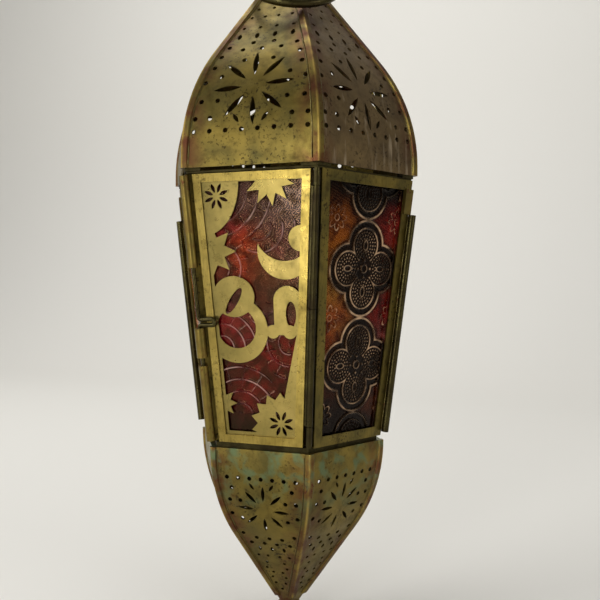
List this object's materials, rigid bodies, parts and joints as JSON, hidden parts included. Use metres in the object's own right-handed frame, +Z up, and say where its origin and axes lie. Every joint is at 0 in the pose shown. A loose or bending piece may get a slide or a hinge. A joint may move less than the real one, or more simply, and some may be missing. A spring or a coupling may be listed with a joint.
{
  "type": "hanging candle lantern",
  "caption": "Hexagonal brass hanging candle lantern: pierced dome and pointed bowl, pressed-glass sides, hinged fretwork door with a turn latch, and a hanging ring.",
  "frame": {"origin": "centre of the hole in the hanging eye, on the lantern's upright axis", "axes": "+Z up along the lantern's axis, the door faces -Y"},
  "size_m": [0.1182, 0.1032, 0.3089],
  "materials": {
    "aged_brass_sheet": "aged pierced sheet",
    "soldered_seam_strip": "soldered, worn",
    "cut_brass_fretwork": "satin cut sheet",
    "ruby_pressed_glass": "pressed relief",
    "amber_pressed_glass": "pressed relief",
    "bright_brass_channel": "rubbed bright",
    "aged_brass_channel": "aged satin",
    "plain_brass_inside": "dull",
    "brass_wire": "drawn wire",
    "brass_tube": "rolled tube, soldered",
    "turned_brass": "turned and spun"
  },
  "bodies": {
    "lantern": {"bowl_panel_1": "aged_brass_sheet", "bowl_panel_2": "aged_brass_sheet", "bowl_panel_3": "aged_brass_sheet", "bowl_panel_4": "aged_brass_sheet", "bowl_panel_5": "aged_brass_sheet", "bowl_panel_6": "aged_brass_sheet", "bowl_seam_strips": "soldered_seam_strip", "corner_rods": "brass_wire", "crown_cap": "turned_brass", "dome_corner_brackets": "plain_brass_inside", "dome_panel_1": "aged_brass_sheet", "dome_panel_2": "aged_brass_sheet", "dome_panel_3": "aged_brass_sheet", "dome_panel_4": "aged_brass_sheet", "dome_panel_5": "aged_brass_sheet", "dome_panel_6": "aged_brass_sheet", "dome_seam_strips": "soldered_seam_strip", "eye_washer": "plain_brass_inside", "floor_plate": "plain_brass_inside", "hanging_eye": "turned_brass", "hinge_rod": "brass_wire", "hinge_sleeves": "brass_tube", "latch_keeper": "brass_tube", "latch_sleeves": "brass_tube", "side_2_bottom_rail": "aged_brass_channel", "side_2_glass": "amber_pressed_glass", "side_2_stiles": "aged_brass_channel", "side_2_top_rail": "aged_brass_channel", "side_3_bottom_rail": "aged_brass_channel", "side_3_glass": "ruby_pressed_glass", "side_3_stiles": "aged_brass_channel", "side_3_top_rail": "aged_brass_channel", "side_4_bottom_rail": "aged_brass_channel", "side_4_glass": "amber_pressed_glass", "side_4_stiles": "aged_brass_channel", "side_4_top_rail": "aged_brass_channel", "side_5_bottom_rail": "aged_brass_channel", "side_5_glass": "ruby_pressed_glass", "side_5_stiles": "aged_brass_channel", "side_5_top_rail": "aged_brass_channel", "side_6_bottom_rail": "aged_brass_channel", "side_6_glass": "amber_pressed_glass", "side_6_stiles": "aged_brass_channel", "side_6_top_rail": "aged_brass_channel", "tealight_cup": "plain_brass_inside", "tip_bead": "turned_brass", "top_ring": "plain_brass_inside", "upper_corner_clips": "brass_tube"},
    "door": {"door_bottom_rail": "bright_brass_channel", "door_fretwork": "cut_brass_fretwork", "door_glass": "ruby_pressed_glass", "door_knuckles": "brass_tube", "door_stiles": "bright_brass_channel", "door_top_rail": "bright_brass_channel"},
    "latch": {"latch_rod": "brass_wire"},
    "ring": {"hanging_ring": "brass_wire"}
  },
  "joints": [
    {"name": "door_swing", "type": "hinge", "parent": "lantern", "child": "door", "pos_m": [0.02085, -0.03611, -0.21312], "axis": [0.0609, -0.1054, 0.9926], "range_deg": [0, 120]},
    {"name": "latch_swing", "type": "hinge", "parent": "lantern", "child": "latch", "pos_m": [-0.02199, -0.03809, -0.2134], "axis": [0.0609, 0.1054, -0.9926], "range_deg": [0, 140]},
    {"name": "ring_swing", "type": "hinge", "parent": "lantern", "child": "ring", "pos_m": [0, 0, 0], "axis": [-0.9135, -0.4067, 0], "range_deg": [0, 266.5]}
  ]
}
